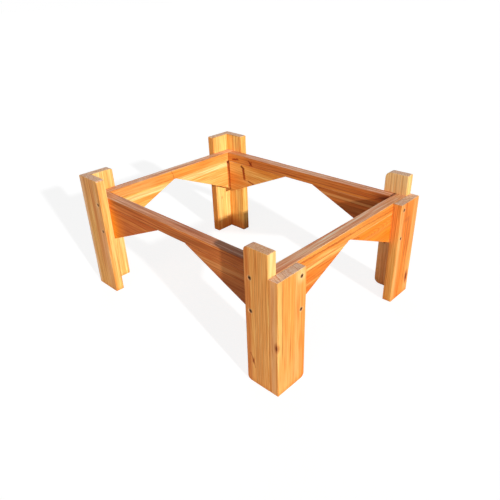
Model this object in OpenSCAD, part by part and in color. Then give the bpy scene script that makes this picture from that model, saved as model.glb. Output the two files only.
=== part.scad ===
// Wooden beehive stand: four L-shaped legs of two boards each, four rails with a triangular
// brace glued under each end, and two countersunk screws through every leg board.
// X runs to the right, Z up from the floor. The low front side faces -Y: its leg boards end
// level with the rails, so a hive slides on there and stops at the tall boards at the back.

/* [Whole stand] */
// Outside width, across the low front side
stand_w = 460; // [410:1:560]
// Outside length, from the low front side to the back
stand_l = 585; // [520:1:700]
// Height of the six tall leg boards
stand_h = 280; // [230:1:400]
// How far the tall boards rise above the rails, to hold the hive in place
guide_rise = 43; // [15:1:80]

/* [Leg boards] */
// Thickness of a leg board
leg_t = 20; // [15:0.5:24]
// Outside width of a leg, the same on both of its faces
leg_w = 73; // [66:1:95]
// Corner radius on the free edge of a well-rounded board
round_corner_r = 9; // [4:0.5:14]
// Corner radius on the free edge of a board left almost square
plain_corner_r = 3; // [2:0.5:6]

/* [Rails and braces] */
// Thickness of the rails and of the braces under them
rail_t = 24; // [18:0.5:28]
// Height of the straight rail itself
strip_h = 23; // [18:0.5:34]
// Depth of a brace at its deep end, below the rail
brace_d = 91; // [70:1:120]
// Part of half a short rail's length that one brace covers
brace_share = 0.976; // [0.7:0.002:0.98]
// Height of a brace's thin end
brace_tip = 2.4; // [2.2:0.1:5]
// Slit left behind the right rail's back brace, which is cut a little short
brace_slit = 2.5; // [0.5:0.1:6]

/* [Screws] */
// Diameter of the screw head
head_d = 8; // [6:0.1:9]
// Diameter of the shank
shank_d = 4; // [3:0.1:5]
// How deep the head sits below the face of the board
head_sink = 0.4; // [0.1:0.1:1]
// Wood left between the screw's point and the inner face of the rail
point_cover = 4; // [2:0.5:7]
// Distance from the board's free edge to the screws
screw_edge = 12; // [8:0.5:14]
// Place of the upper screw down the straight rail, as a part of its height
upper_share = 0.6; // [0.4:0.05:0.7]
// Place of the lower screw down the brace, as a part of its full depth
lower_share = 0.62; // [0.3:0.02:0.66]
// Diameter across the cross recess at the top of the head
recess_d = 4.6; // [3:0.1:5]
// Width of the recess's four arms
recess_w = 1.1; // [0.8:0.1:1.4]
// Gap between a screw and the wood round it
screw_gap = 0.05; // [0.02:0.01:0.15]

/* [Edges] */
// Radius of the eased long edges of every board
arris_r = 1.5; // [0.5:0.1:2]

/* [Hidden] */
// Height of the rails' top faces, where the hive stands
seat_h = stand_h - guide_rise;
// Heights of the rails' lower faces and of the two rows of screws
strip_z = seat_h - strip_h;
upper_z = seat_h - strip_h * upper_share;
lower_z = strip_z - brace_d * lower_share;
// From a leg's outer corner to the inner face of the rail behind it
rail_in = leg_t + rail_t;
// Clear lengths of the rails that run through and of those that stop against them
through_l = stand_w - 2 * leg_t;
between_l = stand_l - 2 * rail_in;
// Length of one brace
brace_l = brace_share * through_l / 2;
// From a leg's outer corner to its screws, along either face
screw_place = leg_w - screw_edge;
// The screw: radii, and depths below the board's face
head_r = head_d / 2;
shank_r = shank_d / 2;
head_end = head_sink + head_r - shank_r;
point_end = rail_in - point_cover;
point_h = shank_d;
point_r = shank_r / 6;
recess_h = head_r - shank_r;
recess_end_d = recess_d / 3;
// Straight cuts end this far outside the wood
cut_past = 1;
// Radius of the eased edges of a brace's sloping face, apart from the other radius so the
// facets of the two never meet in one point
slope_r = arris_r * 0.8;
// Steps in a quarter turn of an eased edge and of a board's rounded corner
arris_steps = 3;
corner_steps = 8;
// A screw's roundness
$fn = 48;
// Colours of the wood and of the steel
leg_color = [0.86, 0.55, 0.28];
rail_color = [0.80, 0.48, 0.24];
brace_color = [0.93, 0.62, 0.32];
screw_color = [0.72, 0.70, 0.64];

// A quarter turn round (x, y), from the given angle on
function quarter(x, y, r, from, steps) = [
  for (i = [0:steps])
    [x + r * cos(from + 90 * i / steps), y + r * sin(from + 90 * i / steps)]
];

// A rectangle from the origin with two corner radii: near the origin's side and on the far side
module rounded_outline(width, height, near_r, far_low_r, far_high_r) {
  near_steps = near_r > arris_r ? corner_steps : arris_steps;
  low_steps = far_low_r > arris_r ? corner_steps : arris_steps;
  high_steps = far_high_r > arris_r ? corner_steps : arris_steps;
  polygon(concat(
    quarter(near_r, near_r, near_r, 180, near_steps),
    quarter(width - far_low_r, far_low_r, far_low_r, 270, low_steps),
    quarter(width - far_high_r, height - far_high_r, far_high_r, 0, high_steps),
    quarter(near_r, height - near_r, near_r, 90, near_steps)
  ));
}

// A cross-section of the wood, every corner eased
module eased_outline(width, height) {
  rounded_outline(width, height, arris_r, arris_r, arris_r);
}

// Stands an outline drawn flat upright in the XZ plane and gives it a thickness along +Y
module upright(thickness) {
  translate([0, thickness, 0])
    rotate([90, 0, 0])
      linear_extrude(thickness)
        children();
}

// Turns an outline drawn flat into the YZ plane and gives it a length along +X
module along_x(length) {
  rotate([90, 0, 90])
    linear_extrude(length)
      children();
}

// A board with its wide face in the XZ plane: its near end at the origin, its free end along +X
module board(width, thickness, height, low_r = arris_r, high_r = arris_r) {
  intersection() {
    upright(thickness)
      rounded_outline(width, height, arris_r, low_r, high_r);
    linear_extrude(height)
      eased_outline(width, thickness);
    along_x(width)
      eased_outline(thickness, height);
  }
}

// Swaps X and Y, so what was drawn along a leg's end face lies along its side face
module swapped() {
  multmatrix([[0, 1, 0, 0], [1, 0, 0, 0], [0, 0, 1, 0], [0, 0, 0, 1]])
    children();
}

// Moves the origin to a leg's outer corner, with X and Y running in from it.
// side is -1 for left and 1 for right, end is -1 for front and 1 for back.
module at_leg(side, end) {
  multmatrix([
    [-side, 0, 0, side * stand_w / 2],
    [0, -end, 0, end * stand_l / 2],
    [0, 0, 1, 0],
    [0, 0, 0, 1]
  ])
    children();
}

// One screw from the board's face inwards along +Z, its head sunk and its end pointed
module screw() {
  difference() {
    rotate_extrude()
      polygon([
        [0, head_sink],
        [head_r, head_sink],
        [shank_r, head_end],
        [shank_r, point_end - point_h],
        [point_r, point_end],
        [0, point_end]
      ]);
    for (turn = [0, 90])
      rotate([0, 0, turn])
        translate([0, -recess_w / 2, head_sink])
          upright(recess_w)
            polygon([
              [-recess_d / 2, 0],
              [-recess_d / 2, -cut_past],
              [recess_d / 2, -cut_past],
              [recess_d / 2, 0],
              [recess_end_d / 2, recess_h],
              [-recess_end_d / 2, recess_h]
            ]);
  }
}

// The hole for one screw: a countersink, and a bore that follows the shank and its point
module screw_hole() {
  rotate_extrude()
    polygon([
      [0, -cut_past],
      [head_r + head_sink + cut_past + screw_gap, -cut_past],
      [shank_r + screw_gap, head_end],
      [shank_r + screw_gap, point_end + screw_gap],
      [0, point_end + screw_gap]
    ]);
}

// Puts something at both screw places of one leg board, pointing in along +Y
module at_board_screws() {
  for (height = [upper_z, lower_z])
    translate([screw_place, 0, height])
      rotate([-90, 0, 0])
        children();
}

// Puts something at all four screw places of one leg
module at_leg_screws(side, end) {
  at_leg(side, end) {
    at_board_screws()
      children();
    swapped()
      at_board_screws()
        children();
  }
}

// A leg board, from the given distance off the outer corner to the leg's free edge
module leg_board(from, height, low_r, high_r) {
  translate([from, 0, 0])
    board(leg_w - from, leg_t, height, low_r, high_r);
}

module leg_side_board(side, end, from, low_r, high_r) {
  color(leg_color)
    difference() {
      at_leg(side, end)
        swapped()
          leg_board(from, stand_h, low_r, high_r);
      at_leg_screws(side, end)
        screw_hole();
    }
}

module leg_end_board(side, end, from, height, low_r, high_r) {
  color(leg_color)
    difference() {
      at_leg(side, end)
        leg_board(from, height, low_r, high_r);
      at_leg_screws(side, end)
        screw_hole();
    }
}

// A short rail, which runs through from leg to leg
module through_rail(end) {
  color(rail_color)
    difference() {
      at_leg(-1, end)
        translate([leg_t, leg_t, strip_z])
          board(through_l, rail_t, strip_h);
      for (side = [-1, 1])
        at_leg_screws(side, end)
          screw_hole();
    }
}

// A long rail, which stops against the inner faces of the short ones
module between_rail(side) {
  color(rail_color)
    difference() {
      at_leg(side, -1)
        swapped()
          translate([rail_in, leg_t, strip_z])
            board(between_l, rail_t, strip_h);
      for (end = [-1, 1])
        at_leg_screws(side, end)
          screw_hole();
    }
}

// A brace with its deep end at the origin, its top level with it and its thin end along +X.
// The slanted block gives the brace its sloping lower face, with both edges eased.
module brace(length) {
  slope = atan((brace_d - brace_tip) / length);
  intersection() {
    translate([0, 0, -brace_d - cut_past])
      linear_extrude(brace_d + cut_past)
        polygon(concat(
          quarter(arris_r, arris_r, arris_r, 180, arris_steps),
          [[length, 0], [length, rail_t]],
          quarter(arris_r, rail_t - arris_r, arris_r, 90, arris_steps)
        ));
    translate([0, 0, -brace_d])
      rotate([0, -slope, 0])
        translate([-length, 0, 0])
          along_x(3 * length)
            rounded_outline(rail_t, length, slope_r, slope_r, slope_r);
  }
}

module through_brace(side, end) {
  color(brace_color)
    difference() {
      at_leg(side, end)
        translate([leg_t, leg_t, strip_z])
          brace(brace_l);
      at_leg_screws(side, end)
        screw_hole();
    }
}

module between_brace(side, end, slit) {
  color(brace_color)
    difference() {
      at_leg(side, end)
        swapped()
          translate([rail_in + slit, leg_t, strip_z])
            brace(brace_l - slit);
      at_leg_screws(side, end)
        screw_hole();
    }
}

module leg_screws(side, end) {
  color(screw_color)
    at_leg_screws(side, end)
      screw();
}

// The front legs: the short end board runs out to the corner and the tall side board stands behind it
module front_left_leg_side_board() {
  leg_side_board(-1, -1, leg_t, round_corner_r, round_corner_r);
}

module front_left_leg_end_board() {
  leg_end_board(-1, -1, 0, seat_h, round_corner_r, plain_corner_r);
}

module front_right_leg_side_board() {
  leg_side_board(1, -1, leg_t, round_corner_r, round_corner_r);
}

module front_right_leg_end_board() {
  leg_end_board(1, -1, 0, seat_h, plain_corner_r, plain_corner_r);
}

// The back legs: the side board runs out to the corner and the end board stands beside it
module back_left_leg_side_board() {
  leg_side_board(-1, 1, 0, plain_corner_r, plain_corner_r);
}

module back_left_leg_end_board() {
  leg_end_board(-1, 1, leg_t, stand_h, plain_corner_r, round_corner_r);
}

module back_right_leg_side_board() {
  leg_side_board(1, 1, 0, plain_corner_r, plain_corner_r);
}

module back_right_leg_end_board() {
  leg_end_board(1, 1, leg_t, stand_h, plain_corner_r, plain_corner_r);
}

module front_rail() {
  through_rail(-1);
}

module back_rail() {
  through_rail(1);
}

module left_rail() {
  between_rail(-1);
}

module right_rail() {
  between_rail(1);
}

module front_rail_left_brace() {
  through_brace(-1, -1);
}

module front_rail_right_brace() {
  through_brace(1, -1);
}

module back_rail_left_brace() {
  through_brace(-1, 1);
}

module back_rail_right_brace() {
  through_brace(1, 1);
}

module left_rail_front_brace() {
  between_brace(-1, -1, 0);
}

module left_rail_back_brace() {
  between_brace(-1, 1, 0);
}

module right_rail_front_brace() {
  between_brace(1, -1, 0);
}

module right_rail_back_brace() {
  between_brace(1, 1, brace_slit);
}

module front_left_leg_screws() {
  leg_screws(-1, -1);
}

module front_right_leg_screws() {
  leg_screws(1, -1);
}

module back_left_leg_screws() {
  leg_screws(-1, 1);
}

module back_right_leg_screws() {
  leg_screws(1, 1);
}

front_left_leg_side_board();
front_left_leg_end_board();
front_right_leg_side_board();
front_right_leg_end_board();
back_left_leg_side_board();
back_left_leg_end_board();
back_right_leg_side_board();
back_right_leg_end_board();
front_rail();
back_rail();
left_rail();
right_rail();
front_rail_left_brace();
front_rail_right_brace();
back_rail_left_brace();
back_rail_right_brace();
left_rail_front_brace();
left_rail_back_brace();
right_rail_front_brace();
right_rail_back_brace();
front_left_leg_screws();
front_right_leg_screws();
back_left_leg_screws();
back_right_leg_screws();
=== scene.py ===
# %% [markdown]
# # A hive stand in oiled softwood
#
# The stand carries one beehive. Four L-shaped legs of two boards each hold a rectangle of four rails, and a
# triangular brace is glued under each end of every rail. Sixteen countersunk screws hold the legs on.
#
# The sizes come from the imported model: every board is made again here in its node's box, with worn edges, a
# grain of its own and real screw holes. The model could also be shown as it is with new materials, but a board's
# softly worn edge catches the light only where the mesh has it.

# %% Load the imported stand
import math
import random

import bmesh
import bpy
from mathutils import Matrix, Vector


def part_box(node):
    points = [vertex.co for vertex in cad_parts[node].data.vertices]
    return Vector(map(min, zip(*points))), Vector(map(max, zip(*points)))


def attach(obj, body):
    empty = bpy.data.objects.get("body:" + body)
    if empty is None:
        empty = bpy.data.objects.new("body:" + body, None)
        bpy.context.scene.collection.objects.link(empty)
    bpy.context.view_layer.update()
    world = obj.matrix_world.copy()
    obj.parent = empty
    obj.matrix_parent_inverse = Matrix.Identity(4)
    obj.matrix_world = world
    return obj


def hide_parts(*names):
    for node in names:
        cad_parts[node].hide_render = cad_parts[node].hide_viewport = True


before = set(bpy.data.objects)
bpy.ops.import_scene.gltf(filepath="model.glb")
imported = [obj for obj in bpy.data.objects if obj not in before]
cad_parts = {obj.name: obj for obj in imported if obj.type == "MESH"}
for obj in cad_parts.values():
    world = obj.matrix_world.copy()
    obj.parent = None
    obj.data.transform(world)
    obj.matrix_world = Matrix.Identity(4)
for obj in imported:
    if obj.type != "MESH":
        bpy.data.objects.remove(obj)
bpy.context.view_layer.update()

MM = 0.001
scene = bpy.context.scene

# %% [markdown]
# ## The camera
#
# The photograph was taken from the stand's front left corner, a little above a tabletop view. The place, the turn
# and the lens were worked out from about fifty board corners, so they are written here as one matrix: its columns
# are the picture's right, the picture's up and the way back to the viewer. A camera could also be aimed with a Track To
# constraint, but then the slight roll of the picture would be lost.

# %% Place the camera
SENSOR_MM = 36.0
LENS_MM = 34.965
VIEW_POINT = Vector((-0.70452, -0.70414, 0.64018))
PICTURE_RIGHT = Vector((0.690133, -0.723033, -0.030655))
PICTURE_UP = Vector((0.365311, 0.311497, 0.877222))

camera = bpy.data.objects.new("camera", bpy.data.cameras.new("camera"))
scene.collection.objects.link(camera)
backward = PICTURE_RIGHT.cross(PICTURE_UP).normalized()
turn = Matrix((PICTURE_RIGHT, PICTURE_UP, backward)).transposed().to_4x4()
camera.matrix_world = Matrix.Translation(VIEW_POINT) @ turn
camera.data.sensor_width = SENSOR_MM
camera.data.lens = LENS_MM
camera.data.clip_start = 0.01
scene.camera = camera
print("camera at", [round(v, 3) for v in VIEW_POINT])

# %% [markdown]
# ## One way to write node maths
#
# Both the boards' shape and their grain are sums and products of a few numbers. A tree of Math nodes is hard to
# read, so a small class wraps a socket and lets Python's own signs add the nodes. The same class serves geometry
# and shader trees, because both use the same Math node.

# %% Wrap sockets so that + - * / build nodes
class Value:
    """A number, vector or colour on its way through a node tree."""

    def __init__(self, maker, socket):
        self.maker, self.socket = maker, socket

    def out(self, name):
        return Value(self.maker, self.socket.node.outputs[name])

    def __add__(self, other):
        return self.maker.math("ADD", self, other)

    def __sub__(self, other):
        return self.maker.math("SUBTRACT", self, other)

    def __rsub__(self, other):
        return self.maker.math("SUBTRACT", other, self)

    def __mul__(self, other):
        return self.maker.math("MULTIPLY", self, other)

    def __truediv__(self, other):
        return self.maker.math("DIVIDE", self, other)

    def __rtruediv__(self, other):
        return self.maker.math("DIVIDE", other, self)

    def __pow__(self, other):
        return self.maker.math("POWER", self, other)

    def __abs__(self):
        return self.maker.math("ABSOLUTE", self)

    __radd__, __rmul__ = __add__, __mul__


# %% Make any node in one call
class Maker:
    """Adds nodes to one tree."""

    def __init__(self, tree):
        self.tree = tree

    def node(self, kind, settings=None, values=None, output=0):
        node = self.tree.nodes.new(kind)
        for name, setting in (settings or {}).items():
            setattr(node, name, setting)
        for name, value in (values or {}).items():
            if isinstance(value, Value):
                self.tree.links.new(value.socket, node.inputs[name])
            else:
                node.inputs[name].default_value = value
        return Value(self, node.outputs[output]) if node.outputs else node

    def math(self, operation, *values, clamp=False):
        return self.node("ShaderNodeMath", {"operation": operation, "use_clamp": clamp}, dict(enumerate(values)))

    def least(self, a, b):
        return self.math("MINIMUM", a, b)

    def most(self, a, b):
        return self.math("MAXIMUM", a, b)

    def split(self, vector):
        node = self.node("ShaderNodeSeparateXYZ", values={"Vector": vector})
        return node.out("X"), node.out("Y"), node.out("Z")

    def join(self, x, y, z):
        return self.node("ShaderNodeCombineXYZ", values={"X": x, "Y": y, "Z": z})

    def vector(self, operation, a, b=None):
        values = {0: a} if b is None else {0: a, 1: b}
        return self.node("ShaderNodeVectorMath", {"operation": operation}, values)

    def scaled(self, vector, factor):
        return self.node("ShaderNodeVectorMath", {"operation": "SCALE"}, {0: vector, "Scale": factor})

    def ramp(self, value, low, high, at_low=0.0, at_high=1.0):
        """A soft step: at_low below low, at_high above high."""
        return self.node(
            "ShaderNodeMapRange",
            {"interpolation_type": "SMOOTHSTEP"},
            {"Value": value, "From Min": low, "From Max": high, "To Min": at_low, "To Max": at_high},
        )

    def noise(self, vector, detail=2.0, roughness=0.5, output="Fac"):
        values = {"Vector": vector, "Scale": 1.0, "Detail": detail, "Roughness": roughness}
        return self.node("ShaderNodeTexNoise", values=values).out(output)


print("node maths ready")

# %% [markdown]
# ## A board as a rule
#
# Every wooden piece of the stand follows one rule: a length, a width at each end, a thickness, rounded corners in
# its plan and an eased edge all round. The brace only has a smaller width at its tip. Such a board could be a
# cube with a Bevel modifier, but then its rounded corner, its taper and the uneven wear of its edge would each need
# work by hand. Geometry Nodes can write the rule down once, and each board is then made from its numbers.
#
# The tree starts from a grid cube. Rows of points crowd towards the edges, every point is moved onto the eased
# outline, and a slow noise changes how far the edge is worn. All moves go inwards, so a board never grows.

# %% Name the tree's inputs
EDGE_ROWS = 3
CORNER_ROWS = 5
THROUGH_ROWS = 3
BOARD_INPUTS = (
    ("Origin", "NodeSocketVector"),
    ("Along", "NodeSocketVector"),
    ("Across", "NodeSocketVector"),
    ("Through", "NodeSocketVector"),
    ("Length", "NodeSocketFloat"),
    ("Width", "NodeSocketFloat"),
    ("Tip width", "NodeSocketFloat"),
    ("Thickness", "NodeSocketFloat"),
    ("Eased edge", "NodeSocketFloat"),
    ("Corner band", "NodeSocketFloat"),
    ("Start corner low", "NodeSocketFloat"),
    ("Start corner high", "NodeSocketFloat"),
    ("End corner low", "NodeSocketFloat"),
    ("End corner high", "NodeSocketFloat"),
    ("Rows along", "NodeSocketInt"),
    ("Rows across", "NodeSocketInt"),
    ("Unevenness", "NodeSocketFloat"),
    ("Seed", "NodeSocketFloat"),
    ("Finish", "NodeSocketMaterial"),
)


def new_tree(name, inputs):
    """A geometry tree with the named inputs, its maker, and its inputs as values."""
    tree = bpy.data.node_groups.new(name, "GeometryNodeTree")
    tree.interface.new_socket(name="Geometry", in_out="INPUT", socket_type="NodeSocketGeometry")
    for label, kind in inputs:
        tree.interface.new_socket(name=label, in_out="INPUT", socket_type=kind)
    tree.interface.new_socket(name="Geometry", in_out="OUTPUT", socket_type="NodeSocketGeometry")
    maker = Maker(tree)
    first = maker.node("NodeGroupInput")
    return tree, maker, {label: first.out(label) for label, kind in inputs}, first


def share(maker, index, start, count):
    """How far a row's index is through the rows from start on, from 0 to 1."""
    return maker.math("DIVIDE", maker.math("SUBTRACT", index, start), count, clamp=True)


def row_place(maker, index, middle, length, edge, band):
    """Turns a row's index into millimetres from the board's end: narrow rows at the edges, wide ones between."""
    ends = EDGE_ROWS + CORNER_ROWS
    rises = (
        (0, EDGE_ROWS, edge),
        (EDGE_ROWS, CORNER_ROWS, band - edge),
        (ends, middle, length - band * 2),
        (middle + ends, CORNER_ROWS, band - edge),
        (middle + (ends + CORNER_ROWS), EDGE_ROWS, edge),
    )
    place = 0.0
    for start, count, rise in rises:
        place = rise * share(maker, index, start, count) + place
    return place


print("inputs of a board:", len(BOARD_INPUTS))

# %% Write the rule as a tree
def board_tree():
    tree, m, given, first = new_tree("eased_board", BOARD_INPUTS)
    extra = 2 * (EDGE_ROWS + CORNER_ROWS)
    along_rows, across_rows = given["Rows along"], given["Rows across"]
    cube = m.node("GeometryNodeMeshCube", values={
        "Size": (1.0, 1.0, 1.0),
        "Vertices X": along_rows + (extra + 1),
        "Vertices Y": across_rows + (extra + 1),
        "Vertices Z": THROUGH_ROWS + extra + 1,
    }, output="Mesh")
    x, y, z = m.split(m.node("GeometryNodeInputPosition"))
    edge, band = given["Eased edge"], given["Corner band"]
    thickness = given["Thickness"]

    u = row_place(m, (x + 0.5) * (along_rows + extra), along_rows, given["Length"], edge, band)
    width = given["Width"] + (given["Tip width"] - given["Width"]) * (u / given["Length"])
    near_edge = m.least(edge, width * 0.3)
    v = row_place(m, (y + 0.5) * (across_rows + extra), across_rows, width, near_edge, m.least(band, width * 0.4))
    w = row_place(m, (z + 0.5) * (THROUGH_ROWS + extra), THROUGH_ROWS, thickness, edge, edge * 2.5)

    # how far the edge is worn here, which changes slowly along the board
    slow = m.noise(m.join(u * 14 + given["Seed"], v * 14, w * 14), detail=1.0)
    worn = m.least(edge * m.ramp(slow, 0.3, 0.7, 0.55, 1.0), near_edge)

    # distances to the plan's sides, and the corner that is nearest
    to_end, to_side = m.least(u, given["Length"] - u), m.least(v, width - v)
    far_u = m.math("GREATER_THAN", u, given["Length"] * 0.5)
    far_v = m.math("GREATER_THAN", v, width * 0.5)
    low = given["Start corner low"] + (given["End corner low"] - given["Start corner low"]) * far_u
    high = given["Start corner high"] + (given["End corner high"] - given["Start corner high"]) * far_u
    corner = m.most(m.least(low + (high - low) * far_v, width * 0.5), worn)
    reach_u, reach_v = m.most(corner - to_end, 0.0), m.most(corner - to_side, 0.0)
    reach = m.most(m.math("SQRT", reach_u * reach_u + reach_v * reach_v), 1e-7)

    # the quarter round of the eased edge, seen in section
    inward = m.least(to_end, to_side)
    half = thickness * 0.5
    side = w - half
    run = m.math("SUBTRACT", worn, inward, clamp=True)
    rise = m.math("SUBTRACT", abs(side), half - worn, clamp=True)
    slant = m.most(m.math("SQRT", run * run + rise * rise), 1e-7)
    inset = m.most(inward, worn) - worn * run / slant
    out_u = m.most(to_end, corner) - (corner - inset) * reach_u / reach
    out_v = m.most(to_side, corner) - (corner - inset) * reach_v / reach
    lifted = m.least(abs(side), half - worn) + worn * rise / slant
    out_w = half + m.math("SIGN", side) * lifted

    plan_u = out_u + (given["Length"] - out_u * 2) * far_u
    plan_v = out_v + (width - out_v * 2) * far_v
    place = given["Origin"]
    for axis, amount in (("Along", plan_u), ("Across", plan_v), ("Through", out_w)):
        place = m.vector("ADD", place, m.scaled(given[axis], amount))

    # the worn edge is remembered for the finish before the points move, because a field is read where it is used
    kept = m.node("GeometryNodeStoreNamedAttribute", {"data_type": "FLOAT", "domain": "POINT"}, {
        "Geometry": cube, "Name": "arris", "Value": m.least(run, rise) / m.most(worn, 1e-7)})
    shaped = m.node("GeometryNodeSetPosition", values={"Geometry": kept, "Position": place})

    # then the faces are made a little uneven, always inwards
    spot = m.vector("ADD", m.scaled(m.node("GeometryNodeInputPosition"), 24.0), m.join(given["Seed"], 0.0, 0.0))
    push = m.scaled(m.node("GeometryNodeInputNormal"), m.noise(spot) * given["Unevenness"] * -1.0)
    uneven = m.node("GeometryNodeSetPosition", values={"Geometry": shaped, "Offset": push})
    smooth = m.node("GeometryNodeSetShadeSmooth", values={"Geometry": uneven, "Shade Smooth": True})
    plain = m.node("GeometryNodeRealizeInstances", values={"Geometry": smooth})
    done = m.node("GeometryNodeSetMaterial", values={"Geometry": plain, "Material": given["Finish"]})
    m.node("NodeGroupOutput", values={"Geometry": done})
    return tree


BOARD_TREE = board_tree()
print("board tree:", len(BOARD_TREE.nodes), "nodes")

# %% [markdown]
# ## From a tree to a plain mesh
#
# A modifier is a recipe, and the stand is kept as plain meshes. So each piece gets its modifier, its inputs are set by
# their sockets' identifiers, the result is read once as a mesh, and the modifier goes again.

# %% Bake modifiers into meshes
def new_object(name, mesh=None):
    made = bpy.data.objects.new(name, mesh or bpy.data.meshes.new(name))
    scene.collection.objects.link(made)
    return made


def bake(made):
    """Replaces an object's mesh by what its modifiers make of it."""
    graph = bpy.context.evaluated_depsgraph_get()
    mesh = bpy.data.meshes.new_from_object(made.evaluated_get(graph))
    made.modifiers.clear()
    made.data = mesh
    mesh.name = made.name
    return made


def by_nodes(made, tree, values):
    """Runs a geometry tree on an object with the named values, and bakes it."""
    modifier = made.modifiers.new(tree.name, "NODES")
    modifier.node_group = tree
    for item in tree.interface.items_tree:
        if item.in_out == "INPUT" and item.name in values:
            modifier[item.identifier] = values[item.name]
    return bake(made)


print("pieces will be baked by", bake.__name__)

# %% [markdown]
# ## The wood's colours
#
# Oiled fir or pine is pale straw in its sapwood and orange to red-brown in its heartwood, with narrow dark late
# wood in each ring. A few tones are named here in a maker's words and mixed by every board in its own shares.

# %% Name the tones
def linear(red, green, blue):
    """A colour as a screen shows it, from 0 to 255, as the light values that a shader takes."""
    values = [c / 255 for c in (red, green, blue)]
    return tuple(v / 12.92 if v <= 0.04045 else ((v + 0.055) / 1.055) ** 2.4 for v in values) + (1.0,)


TONES = {
    "sap": linear(252, 224, 152),
    "straw": linear(250, 208, 120),
    "honey": linear(248, 180, 92),
    "amber": linear(244, 156, 66),
    "orange": linear(240, 130, 40),
    "glow": linear(252, 146, 30),
    "rust": linear(212, 110, 46),
    "tan": linear(236, 168, 98),
    "umber": linear(168, 84, 32),
    "resin": linear(176, 74, 22),
    "dark": linear(96, 40, 16),
    "mark": linear(124, 46, 12),
    "peach": linear(252, 178, 104),
    "sunned_and_sheen": linear(250, 174, 132),
    "bleached": linear(250, 199, 154),
    "weathered": linear(252, 220, 192),
    "endgrain": linear(255, 222, 188),
    "bare": linear(255, 222, 168),
}
print("tones:", ", ".join(TONES))

# %% [markdown]
# ## Grain from growth rings
#
# A board is cut from a log, and its grain is what the saw shows of the yearly rings. An image or a stretched noise
# can look like wood from one side, but only rings in space run on from a face over its edge to the end grain. So
# every board is given a heart line (the pith) somewhere beside it, a little tilted and wandering. The distance to
# that line, divided by the width of a ring, tells the age of the wood: pale early wood first, then dark late wood.
# Streaks, fibres, knots and drawn-in marks come on top, all in the board's own coordinates.

# %% Measure a board for its finish
AXES = "XYZ"


class Cut:
    """How a piece lies: its box in millimetres, and which of the stand's axes its grain and its wide side follow."""

    def __init__(self, node, grain, wide):
        low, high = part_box(node)
        self.node, self.grain, self.wide = node, grain, wide
        self.thin = next(a for a in AXES if a not in (grain, wide))
        self.low = {a: low[i] / MM for i, a in enumerate(AXES)}
        self.high = {a: high[i] / MM for i, a in enumerate(AXES)}
        self.middle = {a: (self.low[a] + self.high[a]) / 2 for a in AXES}
        self.seed = sum(map(ord, node)) % 97


print("a board's grain lies along one of", AXES)

# %% [markdown]
# The pith is a line with a slow sway. How far a point is from it, in ring widths, is a number of years, and the
# fraction of that number says where in its year the point grew. Late wood is a thin dark line at the year's end,
# stronger in some years than in others.

# %% Count the rings
RING_SCALE = 0.8
LATE_FROM, LATE_FULL, LATE_OVER = 0.46, 0.86, 0.93


def mixed(m, factor, under, over, blend="MIX"):
    """Two colours mixed by a factor, never brighter than white."""
    return m.node("ShaderNodeMix", {"data_type": "RGBA", "blend_type": blend, "clamp_result": True}, {
        0: factor, 6: under, 7: over}, output=2)


def from_pith(m, cut, look, a, s, t):
    """The distance to the swaying pith, and the sway itself for marks that should follow it."""
    drift = m.noise(m.join(a / 210 + cut.seed, s / 300, t / 300), detail=1.5).out("Color")
    sway_s, sway_t, sway = (c - 0.5 for c in m.split(drift))
    wander = look.get("wander", 14)
    pith_s, pith_t = look.get("pith", (90, 40))
    tilt_s, tilt_t = look.get("tilt", (0.02, 0.01))
    ds = s - a * tilt_s - pith_s + sway_s * wander
    dt = t - a * tilt_t - pith_t + sway_t * wander
    return m.math("SQRT", ds * ds + dt * dt), sway


def late_wood(m, cut, age, ring):
    """0 in early wood, up to 1 in the dark line of a strong year."""
    uneven = m.node("ShaderNodeTexNoise", {"noise_dimensions": "1D"}, {
        "W": age / 19 + cut.seed, "Scale": 1.0, "Detail": 1.0}).out("Fac")
    years = (age + uneven * (ring * 2.5)) / ring
    part = m.math("FRACT", years)
    line = m.ramp(part, LATE_FROM, LATE_FULL) * m.ramp(part, LATE_OVER, 1.0, 1.0, 0.0)
    strength = m.node("ShaderNodeTexWhiteNoise", {"noise_dimensions": "1D"}, {
        "W": m.math("FLOOR", years) + cut.seed}, output="Value")
    return line * (strength * 0.75 + 0.25)


print("rings are", RING_SCALE, "times as wide as each look says")

# %% [markdown]
# A board's own marks are drawn in its own coordinates: streaks that run with the grain, strokes from one point to
# another, soft patches, and knots. A few patches and one streak are painted shadows, where one part of the stand shades
# another. Each gives a mask, and the mask mixes one named tone over the wood.

# %% Draw a board's own marks
def reach_of(m, mm, spot):
    """How many sizes away a point is from a spot: below 1 is inside it."""
    parts = [(mm[axis] - place) / spot["size"][axis] for axis, place in spot["at"].items()]
    total = parts[0] * parts[0]
    for part in parts[1:]:
        total = total + part * part
    return m.math("SQRT", total)


def streak_mask(m, cut, mm, facing, sway, streak):
    """A line or band along the grain, perhaps only on one face or one stretch."""
    axis, place, half, tone, strength = streak[:5]
    extra = streak[5] if len(streak) > 5 else {}
    off = abs(mm[axis] - place + sway * extra.get("sway", 5))
    mask = m.ramp(off, half * 0.5, half * 1.4, strength, 0.0)
    if "run" in extra:
        start, stop, soft = extra["run"]
        along = mm[cut.grain]
        mask = mask * m.ramp(along, start - soft, start + soft) * m.ramp(along, stop - soft, stop + soft, 1.0, 0.0)
    if "face" in extra:
        face, sign = extra["face"]
        mask = mask * m.ramp(facing[face] * sign, 0.6, 0.9)
    return mask, TONES[tone]


FACE_OF_AXES = {"YZ": ("X", -1), "XZ": ("Y", -1), "XY": ("Z", 1)}


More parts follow.
